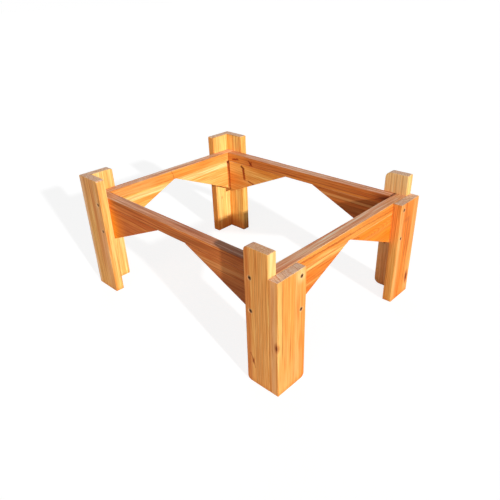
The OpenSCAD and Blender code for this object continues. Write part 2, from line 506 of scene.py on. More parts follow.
def stroke_mask(m, mm, facing, crooked, stroke):
    """A crooked stroke between two points in two of the stand's axes, on the face that is seen along the third."""
    axes, start, stop, half, tone, strength = stroke
    run = [b - a for a, b in zip(start, stop)]
    off = [mm[axis] - place + crooked[axis] for axis, place in zip(axes, start)]
    along = m.math("DIVIDE", off[0] * run[0] + off[1] * run[1], run[0] ** 2 + run[1] ** 2, clamp=True)
    x, y = (o - along * r for o, r in zip(off, run))
    face, sign = FACE_OF_AXES[axes]
    shown = m.ramp(facing[face] * sign, 0.5, 0.8)
    return shown * m.ramp(m.math("SQRT", x * x + y * y), half * 0.4, half * 1.3, strength, 0.0), TONES[tone]


def patch_mask(m, mm, patch):
    """A soft oval patch."""
    at, size, tone, strength = patch
    return m.ramp(reach_of(m, mm, {"at": at, "size": size}), 0.35, 1.3, strength, 0.0), TONES[tone]


print("marks: streaks, strokes, patches and knots")

# %% [markdown]
# Oil and resin darken wood as a filter does: a thicker layer takes away much blue, some green and little red, so
# dark grain is redder than pale grain and never grey. All fine light and dark is therefore gathered in one number,
# the depth of the layer, and each colour channel is a constant to that power.

# %% Write a board's finish
OIL_LEAVES = (0.74, 0.49, 0.30)
BARE_WOOD_MM = 4.2
SCREW_FROM_CORNER, SCREW_HEIGHTS = 61.0, (223.2, 157.58)
HALVES = {"X": 230.0, "Y": 292.5}
FOOT_MM = 12.0
CROOKED_MM = 5.0


def wood(cut, look):
    """One board's finish. look holds its tones, its rings and its own marks."""
    material = bpy.data.materials.new("oiled_" + cut.node)
    material.use_nodes = True
    material.node_tree.nodes.clear()
    m = Maker(material.node_tree)
    mm = dict(zip(AXES, (c / MM for c in m.split(m.node("ShaderNodeTexCoord").out("Object")))))
    facing = dict(zip(AXES, m.split(m.node("ShaderNodeTexCoord").out("Normal"))))
    a, s, t = (mm[axis] - cut.middle[axis] for axis in (cut.grain, cut.wide, cut.thin))
    seed = cut.seed

    # the rings, pushed aside by knots
    age, sway = from_pith(m, cut, look, a, s, t)
    ring = look.get("ring", 4.5) * RING_SCALE
    knots = [(knot, reach_of(m, mm, knot)) for knot in look.get("knots", ())]
    for knot, reach in knots:
        age = age + m.ramp(reach, 0.0, 4.0, ring * 1.2 * knot.get("push", 1.0), 0.0)
    late = late_wood(m, cut, age, ring)

    # streaks along the grain, from broad ones to single fibres
    broad = m.noise(m.join(a / 330 + seed, s / 17, t / 17), detail=2.0)
    streak = m.noise(m.join(a / 150, s / 4.6 + seed, t / 4.6), detail=3.0, roughness=0.6)
    thin = m.noise(m.join(a / 75 + seed, s / 1.7, t / 1.7), detail=2.0)
    fibre = m.noise(m.join(a / 22, s / 0.7, t / 0.7 + seed), detail=1.0)

    first, second, ring_tone = (TONES[name] for name in look["tones"])
    colour = mixed(m, m.ramp(broad, 0.36, 0.64), first, second)
    contrast = look.get("contrast", 0.6)
    colour = mixed(m, late * contrast * 0.7, colour, ring_tone)
    colour = mixed(m, 1.0, colour, look.get("tint", (1.0, 1.0, 1.0)) + (1.0,), "MULTIPLY")

    marks = [streak_mask(m, cut, mm, facing, sway, given) for given in look.get("streaks", ())]
    marks += [patch_mask(m, mm, given) for given in look.get("patches", ())]
    for mask, tone in marks:
        colour = mixed(m, mask, colour, tone)

    # knots are dark in the middle with a reddish halo; round a screw the countersink has left bare wood
    for knot, reach in knots:
        colour = mixed(m, m.ramp(reach, 0.9, 2.6, knot.get("halo", 0.35), 0.0), colour, TONES["resin"])
        colour = mixed(m, m.ramp(reach, 0.55, 1.15, knot.get("strength", 0.85), 0.0), colour, TONES["mark"])
    if "_leg_" in cut.node:
        place = math.copysign(HALVES[cut.wide] - SCREW_FROM_CORNER, cut.middle[cut.wide])
        for height in SCREW_HEIGHTS:
            reach = reach_of(m, mm, {"at": {cut.wide: place, "Z": height},
                                     "size": {cut.wide: BARE_WOOD_MM, "Z": BARE_WOOD_MM}})
            colour = mixed(m, m.ramp(reach, 1.0, 1.7, look.get("bare", 0.22), 0.0), colour, TONES["bare"])

    # end grain drinks more oil and weathers; the tops get a pale pink tint by which way they face, partly sun bleaching
    # and partly a painted sky reflection; worn edges are paler
    end = m.ramp(abs(facing[cut.grain]), 0.6, 0.9)
    pores = m.noise(m.join(mm["X"] / 1.5, mm["Y"] / 1.5, mm["Z"] / 1.5 + seed), detail=3.0, roughness=0.7)
    weather = m.noise(m.join(mm["X"] / 13, mm["Y"] / 13 + seed, mm["Z"] / 13), detail=2.0)
    ended = mixed(m, m.ramp(weather, 0.35, 0.65), TONES["endgrain"], TONES["weathered"])
    ended = mixed(m, late * 0.55 + m.ramp(pores, 0.5, 0.8, 0.12, 0.0), ended, TONES["rust"])
    colour = mixed(m, end * look.get("ended", 0.9), colour, ended)
    top = m.ramp(facing["Z"], 0.5, 0.9)
    sunned_and_sheen = mixed(m, m.ramp(streak, 0.35, 0.6, 0.8, 0.0), TONES["sunned_and_sheen"], TONES["bleached"])
    colour = mixed(m, top * look.get("sunned_and_sheen", 0.5) * (1 - end * 0.7), colour, sunned_and_sheen)
    crooks = m.split(m.noise(m.join(mm["X"] / 6, mm["Y"] / 6, mm["Z"] / 6 + seed), detail=2.0).out("Color"))
    crooked = {axis: (c - 0.5) * CROOKED_MM for axis, c in zip(AXES, crooks)}
    for given in look.get("strokes", ()):
        mask, tone = stroke_mask(m, mm, facing, crooked, given)
        colour = mixed(m, mask, colour, tone)
    edge = m.node("ShaderNodeAttribute", {"attribute_name": "arris"}).out("Fac")
    colour = mixed(m, edge * 0.3, colour, TONES[look.get("edge", "straw")])

    # the depth of oil and resin, and a darkening over the lowest 12 mm that grows towards the bottom
    lines = m.ramp(thin, 0.53, 0.68)
    foot = m.ramp(mm["Z"] + (streak - 0.5) * 12, 0.0, FOOT_MM, 0.35, 0.0)
    streaky = look.get("streaky", 1.7) + top * (1 - end) * 2.2
    depth = (late * contrast * 0.45 + (streak - 0.5) * streaky + (thin - 0.5) * 1.3
             + lines * look.get("lines", 0.35) + (fibre - 0.5) * 0.5 + (pores - 0.5) * (end + top * 0.5) * 0.5 + foot)
    layer = m.join(*(m.math("POWER", leaves, depth) for leaves in OIL_LEAVES))
    colour = mixed(m, 1.0, colour, layer, "MULTIPLY")

    rough = 0.5 + late * 0.1 + (streak - 0.5) * 0.16 + end * 0.16
    height = late * 0.5 + streak * 0.5 + fibre * 0.35 + lines * -0.4 + pores * end
    bump = m.node("ShaderNodeBump", values={"Strength": 0.35, "Distance": 0.3 * MM, "Height": height})
    surface = m.node("ShaderNodeBsdfPrincipled", values={
        "Base Color": colour, "Roughness": rough, "Normal": bump,
        "Specular IOR Level": 0.16, "Coat Weight": 0.03, "Coat Roughness": 0.4})
    m.node("ShaderNodeOutputMaterial", values={"Surface": surface})
    return material


print("a board's finish is ready to be written")

# %% [markdown]
# ## Every board's own look
#
# The boards were clearly not cut from one plank: some are orange heartwood, some pale sapwood, and the left rail is the
# reddest. Each entry below gives one board's tones (two that alternate in broad streaks, and the late wood), where its
# log's heart was, and the marks that a close look shows on it, in millimetres of the stand's frame. Some of the
# patches, and one streak on the left rail's top, are painted shadows that the stand's own parts cast.

# %% Describe the leg boards
FACE_LEFT, FACE_FRONT, FACE_UP = ("X", -1), ("Y", -1), ("Z", 1)
LEG_LOOKS = {
    "front_left_leg_side_board": {
        "tones": ("tan", "tan", "rust"), "pith": (150, 60), "tilt": (0.03, 0.05), "ring": 4.6, "contrast": 0.4,
        "streaky": 1.4, "tint": (1.16, 1.1, 0.9), "ended": 0.6,
        "streaks": [
            ("Y", -223, 9, "rust", 0.6),
            ("Y", -236, 2.2, "honey", 0.35),
            ("Y", -243, 0.8, "umber", 0.4),
            ("Y", -246.5, 0.6, "umber", 0.35),
            ("Y", -252, 0.8, "umber", 0.4),
            ("Y", -255, 0.6, "umber", 0.3),
            ("Y", -259.5, 0.8, "umber", 0.3),
            ("Y", -267, 0.8, "umber", 0.35, {"run": (90, 230, 20)}),
            ("Y", -271.6, 1.0, "straw", 0.6, {"run": (145, 200, 12), "sway": 0.5}),
            ("Y", -273, 6, "straw", 0.5, {"face": FACE_FRONT}),
            ("Y", -273, 6, "sap", 0.55, {"face": FACE_FRONT}),
        ],
        "knots": [{"at": {"Y": -235.3, "Z": 51}, "size": {"Y": 1.6, "Z": 3.6}, "strength": 0.9, "halo": 0.7}],
        "strokes": [("YZ", (-229, 66), (-236, 50), 2.0, "resin", 0.6), ("YZ", (-236, 50), (-239, 38), 1.8, "resin", 0.4)],
    },
    "front_left_leg_end_board": {
        "tones": ("amber", "honey", "orange"), "pith": (-140, 50), "tilt": (0.02, 0.03), "ring": 6.0, "contrast": 0.17,
        "streaky": 0.8, "tint": (1.0, 0.9, 0.92), "ended": 1.0,
        "streaks": [
            ("X", -224, 5.5, "straw", 0.5, {"run": (60, 260, 40), "face": FACE_FRONT}),
            ("X", -217.6, 0.9, "umber", 0.6, {"run": (80, 237, 20), "sway": 1}),
            ("X", -210.5, 0.8, "rust", 0.5, {"run": (50, 150, 20)}),
            ("X", -206.5, 0.8, "rust", 0.5, {"run": (60, 190, 20)}),
            ("X", -197, 1.0, "rust", 0.4, {"run": (55, 140, 15)}),
            ("X", -199, 16, "amber", 0.5, {"run": (120, 250, 20)}),
            ("X", -181, 6, "peach", 0.3),
            ("Y", -284, 9, "peach", 0.7, {"face": FACE_LEFT}),
            ("Y", -282, 4, "bleached", 0.25, {"face": FACE_LEFT}),
            ("Y", -275, 1.6, "rust", 0.2, {"face": FACE_LEFT}),
        ],
        "patches": [
            ({"X": -171, "Z": 226}, {"X": 12, "Z": 16}, "sap", 0.45),
            ({"X": -178, "Z": 45}, {"X": 16, "Z": 40}, "peach", 0.4),
            ({"X": -205, "Z": 22}, {"X": 24, "Z": 26}, "peach", 0.3),
        ],
        "knots": [{"at": {"X": -230, "Y": -289.6, "Z": 108}, "size": {"X": 3.4, "Y": 2.5, "Z": 5.6}, "halo": 0.7}],
    },
    "front_right_leg_side_board": {
        "tones": ("straw", "straw", "tan"), "pith": (120, -60), "tilt": (0.02, 0.03), "ring": 4.6, "contrast": 0.35,
        "streaky": 0.7, "lines": 0.1, "tint": (1.05, 0.96, 1.3),
        # the patch on the lower part is painted shade: the front rail and its brace shadow it
        "patches": [({"Z": 30}, {"Z": 105}, "orange", 0.45)],
        "streaks": [
            ("Y", -273, 3, "straw", 0.8, {"face": FACE_FRONT}),
            ("Y", -263, 12, "peach", 0.35, {"face": FACE_FRONT}),
            ("Y", -235, 0.9, "umber", 0.35),
            ("Y", -241.4, 0.7, "umber", 0.3),
            ("Y", -247.6, 0.9, "umber", 0.35),
            ("Y", -255.4, 0.8, "umber", 0.3),
            ("Y", -261, 1.0, "umber", 0.35),
        ],
    },
    "front_right_leg_end_board": {
        "tones": ("amber", "orange", "rust"), "pith": (130, 60), "tilt": (0.03, 0.05), "ring": 5.2, "contrast": 0.42,
        "ended": 1.0,
        "streaks": [
            ("X", 163, 9, "peach", 0.7, {"face": FACE_FRONT}),
            ("X", 172, 0.9, "rust", 0.6, {"run": (20, 215, 20)}),
            ("X", 177, 0.8, "rust", 0.5, {"run": (20, 160, 20)}),
            ("X", 193, 8, "orange", 0.4, {"run": (30, 240, 20)}),
            ("X", 184, 1.4, "resin", 0.6, {"run": (155, 215, 12)}),
            ("X", 193.5, 2.0, "resin", 0.65, {"run": (95, 205, 20)}),
            ("X", 198, 1.0, "resin", 0.6, {"run": (120, 215, 20)}),
            ("X", 203, 1.5, "resin", 0.65, {"run": (30, 185, 20)}),
            ("X", 214, 3.5, "peach", 0.5),
            ("X", 224, 6, "peach", 0.6, {"face": FACE_FRONT}),
            ("Y", -283, 12, "honey", 0.55, {"face": FACE_LEFT}),
            ("Y", -276, 0.9, "umber", 0.5, {"face": FACE_LEFT}),
        ],
        "patches": [({"X": 188, "Z": 197}, {"X": 15, "Z": 6}, "rust", 0.65)],
        "knots": [{"at": {"X": 218.2, "Z": 41.4}, "size": {"X": 3.4, "Z": 9.5}, "strength": 1.0, "halo": 0.8}],
    },
    "back_left_leg_side_board": {
        "tones": ("tan", "honey", "umber"), "pith": (-130, -50), "tilt": (0.02, 0.03), "ring": 5.0, "contrast": 0.4,
        "tint": (0.99, 1.0, 1.12),
        "streaks": [
            ("Y", 222, 3, "tan", 0.5, {"face": FACE_LEFT}),
            ("Y", 249, 6, "rust", 0.55, {"run": (60, 270, 50)}),
            ("Y", 261, 0.9, "umber", 0.45),
            ("Y", 273.5, 1.0, "umber", 0.45),
            ("Y", 286, 4, "weathered", 0.45, {"face": FACE_LEFT}),
            ("X", -227, 3.5, "amber", 0.6, {"face": FACE_FRONT, "sway": 2}),
            ("X", -216.5, 7, "straw", 0.8, {"face": FACE_FRONT, "sway": 2}),
            ("X", -221, 0.9, "amber", 0.6, {"face": FACE_FRONT, "sway": 2}),
            ("X", -215, 0.8, "honey", 0.6, {"face": FACE_FRONT, "sway": 2}),
        ],
        "patches": [({"Y": 232, "Z": 110}, {"Y": 12, "Z": 90}, "sunned_and_sheen", 0.35)],
    },
    "back_left_leg_end_board": {
        "tones": ("straw", "sap", "amber"), "pith": (100, 60), "tilt": (0.02, 0.03), "ring": 5.4, "contrast": 0.5,
        "tint": (1.0, 0.95, 0.88),
        "streaks": [
            ("X", -161, 1.0, "amber", 0.6),
            ("X", -172, 1.2, "amber", 0.55),
            ("X", -186, 1.0, "honey", 0.55),
            ("X", -196, 6, "sap", 0.5),
        ],
    },
    "back_right_leg_side_board": {
        "tones": ("amber", "honey", "orange"), "pith": (110, 40), "tilt": (0.02, 0.04), "ring": 5.0, "contrast": 0.35,
        "tint": (1.08, 1.32, 1.6),
        # the patch at the foot is a painted shadow of the front rail
        "patches": [({"Z": 4}, {"Z": 28}, "rust", 0.65)], "strokes": [("YZ", (215, 280), (295, 280), 1.5, "umber", 0.55)],
        "streaks": [
            ("Y", 227, 1.8, "rust", 0.6, {"run": (200, 300, 20)}),
            ("Y", 240, 1.2, "rust", 0.5),
            ("Y", 252, 1.0, "umber", 0.45),
            ("Y", 262, 3, "straw", 0.4),
        ],
    },
    "back_right_leg_end_board": {
        "tones": ("straw", "sap", "honey"), "pith": (-110, 50), "tilt": (0.02, 0.03), "ring": 5.6, "contrast": 0.5,
        # the patch at the foot is a painted shadow of the front rail
        "tint": (1.0, 0.88, 0.7), "patches": [({"Z": 4}, {"Z": 30}, "orange", 0.6)],
        "strokes": [("XZ", (150, 280), (232, 280), 1.5, "umber", 0.55)],
        "streaks": [
            ("X", 156, 3.5, "orange", 0.75, {"face": FACE_LEFT, "sway": 0}),
            ("X", 159.5, 2.5, "amber", 0.7, {"face": FACE_FRONT}),
            ("X", 165, 1.2, "orange", 0.5, {"run": (220, 300, 15)}),
            ("X", 176, 1.0, "amber", 0.5),
            ("X", 190, 0.9, "honey", 0.5),
            ("X", 199, 1.2, "amber", 0.5),
            ("X", 190, 40, "honey", 0.3, {"run": (238, 300, 10)}),
        ],
        "knots": [{"at": {"X": 177.3, "Z": 100}, "size": {"X": 2.2, "Z": 3}, "strength": 0.3, "halo": 0.25}],
    },
}
print("leg boards described:", len(LEG_LOOKS))

# %% Describe the rails
RAIL_LOOKS = {
    "front_rail": {
        "tones": ("amber", "amber", "orange"), "pith": (110, 90), "tilt": (0.02, 0.02), "ring": 5.0,
        "contrast": 0.45, "sunned_and_sheen": 0.75, "tint": (1.0, 0.93, 0.92),
        "streaks": [
            ("Z", 215.2, 1.3, "honey", 0.5, {"face": FACE_FRONT, "sway": 1}),
            ("Y", -253, 5, "rust", 0.35, {"face": FACE_UP, "sway": 3}),
            ("Y", -262.5, 2.2, "bleached", 0.5, {"face": FACE_UP, "sway": 3}),
            ("Y", -268, 1.4, "rust", 0.4, {"face": FACE_UP, "sway": 3}),
        ],
        "strokes": [
            ("XZ", (-150, 229), (0, 226), 1.8, "resin", 0.6),
            ("XZ", (0, 226.5), (160, 222), 2.0, "resin", 0.5),
            ("XZ", (40, 232), (200, 229), 1.2, "rust", 0.6),
            ("XY", (188, -249.6), (210, -249.6), 1.5, "dark", 1.0),
            ("XY", (195, -262), (211, -257), 7.0, "tan", 0.5),
        ],
        "patches": [
            ({"X": -85, "Z": 219}, {"X": 38, "Z": 4}, "straw", 0.5),
            ({"X": -112, "Z": 222}, {"X": 22, "Z": 5}, "orange", 0.5),
            ({"X": 120, "Z": 226}, {"X": 60, "Z": 10}, "orange", 0.3),
        ],
    },
    "back_rail": {
        "tones": ("amber", "honey", "orange"), "pith": (100, 90), "tilt": (0.01, 0.02), "ring": 4.6,
        "contrast": 0.4, "sunned_and_sheen": 0.8,
        "streaks": [
            ("Y", 253, 4, "rust", 0.45, {"face": FACE_UP, "sway": 3, "run": (-130, 150, 40)}),
            ("Y", 262, 5, "bleached", 0.4, {"face": FACE_UP, "sway": 3}),
        ],
        "strokes": [("XZ", (-9, 238), (-3, 217), 1.4, "rust", 0.75)],
        "patches": [
            ({"X": 70, "Z": 226}, {"X": 80, "Z": 14}, "orange", 0.25),
            ({"X": -120, "Z": 226}, {"X": 90, "Z": 20}, "peach", 0.5),
        ],
    },
    "left_rail": {
        "tones": ("rust", "umber", "umber"), "pith": (110, 80), "tilt": (0.02, 0.02), "ring": 5.0,
        "contrast": 0.6, "streaky": 2.2, "sunned_and_sheen": 0.5, "edge": "umber", "tint": (1.27, 1.56, 1.88),
        "streaks": [
            ("Z", 231.5, 1.6, "resin", 0.6, {"face": FACE_LEFT, "sway": 2}),
            ("Z", 222, 1.2, "resin", 0.5, {"face": FACE_LEFT, "sway": 4, "run": (-200, 120, 30)}),
            ("Z", 214.4, 1.2, "mark", 0.75, {"run": (40, 240, 15), "sway": 0.5}),
            ("X", -206, 3, "tan", 0.3, {"face": FACE_UP, "sway": 3}),
            ("X", -191, 2.5, "umber", 0.4, {"face": FACE_UP, "sway": 3}),
            # a painted shadow of the front left leg on the rail's top
            ("X", -199, 30, "umber", 0.7, {"face": FACE_UP, "run": (-300, -178, 6)}),
        ],
        "patches": [
            ({"Y": 228, "Z": 226}, {"Y": 36, "Z": 20}, "orange", 0.75),
            ({"Y": 150, "Z": 226}, {"Y": 60, "Z": 40}, "umber", 0.3),
            # a painted shadow of the front left leg on the rail, near that leg
            ({"Y": -195, "Z": 226}, {"Y": 50, "Z": 40}, "umber", 0.55),
        ],
        "knots": [{"at": {"X": -201, "Y": -161.5}, "size": {"X": 1.4, "Y": 3}, "strength": 0.6, "halo": 0.2}],
    },
    "right_rail": {
        "tones": ("rust", "rust", "umber"), "pith": (-110, 80), "tilt": (0.02, 0.03), "ring": 5.4,
        "contrast": 0.45, "sunned_and_sheen": 0.65, "edge": "umber", "tint": (1.04, 1.25, 1.35),
        "streaks": [
            ("Z", 222, 1.2, "umber", 0.6, {"face": FACE_LEFT, "sway": 4, "run": (-260, 120, 40)}),
            ("Z", 229, 0.9, "umber", 0.5, {"face": FACE_LEFT, "sway": 3}),
            ("Z", 217.5, 2.2, "amber", 0.45, {"face": FACE_LEFT, "sway": 3, "run": (-220, 60, 40)}),
            ("X", 203, 4.5, "bleached", 0.4, {"face": FACE_UP, "sway": 3}),
            ("X", 192, 3.5, "rust", 0.35, {"face": FACE_UP, "sway": 3}),
        ],
        "strokes": [
            ("YZ", (229, 221.5), (209, 225), 3.2, "resin", 1.0),
            ("YZ", (169, 228), (157, 218), 2.4, "resin", 0.95),
            ("YZ", (158, 227), (165, 216), 2.2, "resin", 0.9),
            ("YZ", (164, 224), (160, 221), 3.0, "mark", 0.9),
            ("XY", (188, -247.4), (211, -247.4), 1.9, "dark", 1.0),
        ],
        "patches": [
            ({"Y": 163, "Z": 222}, {"Y": 13, "Z": 8}, "rust", 0.5),
            ({"Y": 225, "Z": 226}, {"Y": 60, "Z": 20}, "amber", 0.6),
            # a painted shadow of the front rail on this rail's inner face, near the front corner
            ({"Y": -252, "Z": 230}, {"Y": 48, "Z": 9}, "mark", 0.8),
        ],
    },
}
print("rails described:", len(RAIL_LOOKS))

# %% Describe the braces
BRACE_LOOKS = {
    "front_rail_left_brace": {
        "tones": ("amber", "orange", "rust"), "pith": (90, 90), "tilt": (0.02, 0.02), "ring": 5.5, "contrast": 0.45,
        "tint": (0.94, 0.9, 0.95),
        "streaks": [
            ("Z", 208.5, 3.6, "straw", 0.75, {"sway": 2}),
            ("Z", 203.2, 0.8, "rust", 0.6, {"sway": 2}),
            ("Z", 177, 1.6, "honey", 0.6, {"sway": 3}),
        ],
        "patches": [({"X": -132, "Z": 193}, {"X": 45, "Z": 12}, "orange", 0.6)],
    },
    "front_rail_right_brace": {
        "tones": ("amber", "glow", "rust"), "pith": (28, -2), "tilt": (0.02, 0.2), "ring": 3.8,
        "contrast": 0.6, "wander": 8, "streaky": 1.2, "tint": (1.0, 0.9, 0.95),
        "strokes": [("XZ", (-2, 213.5), (34, 207), 1.6, "umber", 0.6)],
    },
    "back_rail_left_brace": {
        "tones": ("straw", "honey", "amber"), "pith": (90, 60), "tilt": (0.03, 0.03), "ring": 6.0, "contrast": 0.55,
        "tint": (0.98, 0.91, 0.72),
        "streaks": [("Z", 203, 6, "sap", 0.7, {"sway": 2}), ("Z", 190, 4, "amber", 0.6)],
    },
    "back_rail_right_brace": {
        "tones": ("straw", "honey", "amber"), "pith": (-90, 60), "tilt": (0.05, 0.03), "ring": 6.0, "contrast": 0.5,
        "streaks": [
            ("Z", 205, 6, "sap", 0.75, {"sway": 2}),
            ("Z", 211.8, 1.2, "honey", 0.7, {"sway": 1}),
            ("Z", 196, 1.0, "amber", 0.6, {"sway": 2}),
            ("X", 184.8, 2.6, "resin", 1.0, {"face": FACE_FRONT, "sway": 0}),
        ],
        "patches": [
            ({"X": 184, "Z": 211}, {"X": 5, "Z": 5}, "mark", 1.0),
            ({"X": 165, "Z": 160}, {"X": 60, "Z": 28}, "amber", 0.5),
        ],
    },
    "left_rail_front_brace": {
        "tones": ("rust", "rust", "umber"), "pith": (100, 50), "tilt": (0.03, 0.03), "ring": 5.0, "contrast": 0.5,
        "edge": "rust", "streaky": 2.1, "tint": (1.08, 1.36, 1.7),
        # a painted shadow of the front left leg on the brace
        "patches": [({"Y": -200, "Z": 160}, {"Y": 50, "Z": 80}, "umber", 0.4)],
        "streaks": [
            ("Z", 199, 3.5, "tan", 0.35, {"sway": 2}),
            ("Z", 191, 1.0, "dark", 0.35, {"sway": 2}),
            ("Z", 166, 16, "umber", 0.5, {"sway": 4}),
        ],
        "strokes": [("YZ", (-40, 213), (-110, 184), 1.4, "dark", 0.5)],
    },
    "left_rail_back_brace": {
        "tones": ("rust", "rust", "umber"), "pith": (-90, 50), "tilt": (0.04, 0.04), "ring": 5.2,
        "contrast": 0.5, "edge": "orange", "streaky": 1.3,
        "streaks": [("Z", 200, 3, "amber", 0.3, {"run": (60, 190, 20)})],
        "patches": [
            ({"Y": 216, "Z": 165}, {"Y": 48, "Z": 70}, "orange", 0.85),
            ({"Y": 222, "Z": 165}, {"Y": 26, "Z": 60}, "glow", 0.9),
        ],
    },
    "right_rail_front_brace": {
        "tones": ("rust", "umber", "umber"), "pith": (-40, 40), "tilt": (0.05, 0.12), "ring": 6.5, "contrast": 0.6,
        "tint": (1.07, 1.24, 1.25),
        "edge": "amber", "streaks": [("Z", 201, 3.2, "tan", 0.65, {"run": (-220, -60, 20)})],
    },
    "right_rail_back_brace": {
        "tones": ("amber", "honey", "rust"), "pith": (60, 40), "tilt": (0.04, 0.04), "ring": 5.6, "contrast": 0.5,
        "streaks": [("Y", 246, 3.5, "resin", 1.0, {"face": FACE_LEFT, "sway": 0})],
        "strokes": [
            ("YZ", (190, 198), (187, 176), 5.0, "resin", 1.0),
            ("YZ", (197, 208), (188, 203), 3.6, "mark", 1.0),
            ("YZ", (225, 172), (172, 171), 1.2, "rust", 0.6),
            ("YZ", (172, 171), (150, 165), 2.6, "resin", 1.0),
        ],
        "patches": [({"Y": 215, "Z": 160}, {"Y": 45, "Z": 30}, "orange", 0.4)],
    },
}
print("braces described:", len(BRACE_LOOKS))

# %% [markdown]
# ## The leg boards
#
# Each leg is an L of two boards. Their grain stands upright. The saw left some of the free corners well rounded and
# others nearly square, so each board names the two radii of its free edge, bottom and top.

# %% Make the leg boards
EASED_MM = 1.5
SQUARE_MM = 3.0
ROUND_MM = 9.0
WELL_ROUND_MM, WORN_MM, BLUNT_MM = 13.0, 7.0, 5.0
SPACING_MM = 5.0
UNEVEN_MM = 0.12
ROUNDED = {
    "front_left_leg_side_board": (ROUND_MM, ROUND_MM),
    "front_left_leg_end_board": (ROUND_MM, SQUARE_MM),
    "front_right_leg_side_board": (WELL_ROUND_MM, WELL_ROUND_MM),
    "back_left_leg_side_board": (SQUARE_MM, WORN_MM),
    "back_left_leg_end_board": (SQUARE_MM, BLUNT_MM),
}


def unit(axis, sign=1):
    return Vector([sign * float(a == axis) for a in AXES])


def board(cut, along, across, radii, material, tip=None, rows=None):
    """Makes one board in its node's box. along and across are directions such as ('X', -1)."""
    directions = [unit(*along), unit(*across)]
    directions.append(directions[0].cross(directions[1]))
    low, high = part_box(cut.node)
    start = Vector([high[i] if any(d[i] < -0.5 for d in directions) else low[i] for i in range(3)])
    size = [abs((high - low).dot(d)) for d in directions]
    values = dict(zip(("Along", "Across", "Through"), (tuple(d) for d in directions)))
    values.update({
        "Origin": tuple(start), "Length": size[0], "Width": size[1], "Tip width": tip or size[1],
        "Thickness": size[2], "Eased edge": EASED_MM * MM,
        "Corner band": max(max(radii), 3 * EASED_MM) * MM,
        "Start corner low": radii[0] * MM, "Start corner high": radii[1] * MM,
        "End corner low": radii[2] * MM, "End corner high": radii[3] * MM,
        "Rows along": max(4, round(size[0] / (SPACING_MM * MM))),
        "Rows across": max(3, round(size[1] / (SPACING_MM * MM))),
        "Unevenness": UNEVEN_MM * MM, "Seed": float(sum(map(ord, cut.node)) % 41), "Finish": material,
    })
    return by_nodes(new_object("wood_" + cut.node), BOARD_TREE, values)


pieces = {}
for name, look in LEG_LOOKS.items():
    wide = "Y" if "side" in name else "X"
    cut = Cut(name, "Z", wide)
    free_high = "front" in name if wide == "Y" else "left" in name
    bottom, top = ROUNDED.get(name, (SQUARE_MM, SQUARE_MM))
    radii = [EASED_MM, bottom, EASED_MM, top] if free_high else [bottom, EASED_MM, top, EASED_MM]
    pieces[name] = board(cut, ("Z", 1), (wide, 1), radii, wood(cut, look))
print("leg boards:", sum(len(p.data.polygons) for p in pieces.values()), "faces")

# %% [markdown]
# ## The rails
#
# The two short rails run through from leg to leg, and the two long ones stop against them. A rail's grain follows its
# length, and its edges are eased all round, also the lower one where the braces are glued on.

# %% Make the rails
for name, look in RAIL_LOOKS.items():
    grain = "X" if name.startswith(("front", "back")) else "Y"
    cut = Cut(name, grain, "Z")
    pieces[name] = board(cut, (grain, 1), ("Z", 1), [EASED_MM] * 4, wood(cut, look))
print("rails:", [round(max(pieces[n].dimensions), 3) for n in RAIL_LOOKS])

# %% [markdown]
# ## The braces
#
# A brace is a board whose width falls to almost nothing at its tip. The rule is the same: the wide end stands
# against the leg, the long edge lies under the rail, and the sloping edge is what shows.

# %% Make the braces
TIP_MM = 0.8
for name, look in BRACE_LOOKS.items():
    grain = "X" if name.startswith(("front_rail", "back_rail")) else "Y"
    cut = Cut(name, grain, "Z")
    away = 1 if name.endswith(("left_brace", "front_brace")) else -1
    pieces[name] = board(cut, (grain, away), ("Z", -1), [EASED_MM] * 4, wood(cut, look), tip=TIP_MM * MM)
print("pieces of wood:", len(pieces))

# %% [markdown]
# ## The screws
#
# Four screws hold each leg, two in each board. A screw is turned from wire: a flat countersunk head with a cross
# recess, a tapered neck, a threaded shank and a point. It could be drawn by hand sixteen times, but a screw is the
# same everywhere. So one is made as a mesh, and a tree puts it at the marked points, each turned by its own amount.

# %% Turn one screw
HEAD_R, SHANK_R, SINK = 4.0, 2.0, 0.4
LONG = 40.0
TURN_STEPS = 24


def lathe(profile, steps=TURN_STEPS, depth=None):
    """A closed solid of revolution about Z, from (radius, height) pairs in millimetres; depth may cut a thread."""
    mesh = bmesh.new()
    rows = []
    for radius, height in profile:
        row = []
        for k in range(steps):
            angle = 2 * math.pi * k / steps
            r = (radius - (depth(radius, height, angle) if depth else 0)) * MM
            row.append(mesh.verts.new((r * math.cos(angle), r * math.sin(angle), height * MM)))
        rows.append(row)
    for lower, upper in zip(rows, rows[1:]):
        for k in range(steps):
            mesh.faces.new((lower[k], lower[(k + 1) % steps], upper[(k + 1) % steps], upper[k]))
    for row, height in ((rows[0], profile[0][1]), (rows[-1], profile[-1][1])):
        pole = mesh.verts.new((0, 0, height * MM))
        for k in range(steps):
            mesh.faces.new((row[k], row[(k + 1) % steps], pole))
    bmesh.ops.recalc_face_normals(mesh, faces=mesh.faces)
    return mesh


PITCH, GROOVE = 1.8, 0.55
THREAD_FROM = -12.0


def thread(radius, height, angle):
    """How deep the thread's groove is at a place on the shank."""
    if height > THREAD_FROM or radius < 0.8 * SHANK_R:
        return 0.0
    phase = (height / PITCH - angle / (2 * math.pi)) % 1.0
    return GROOVE * min(1.0, 3.2 * abs(phase - 0.5))


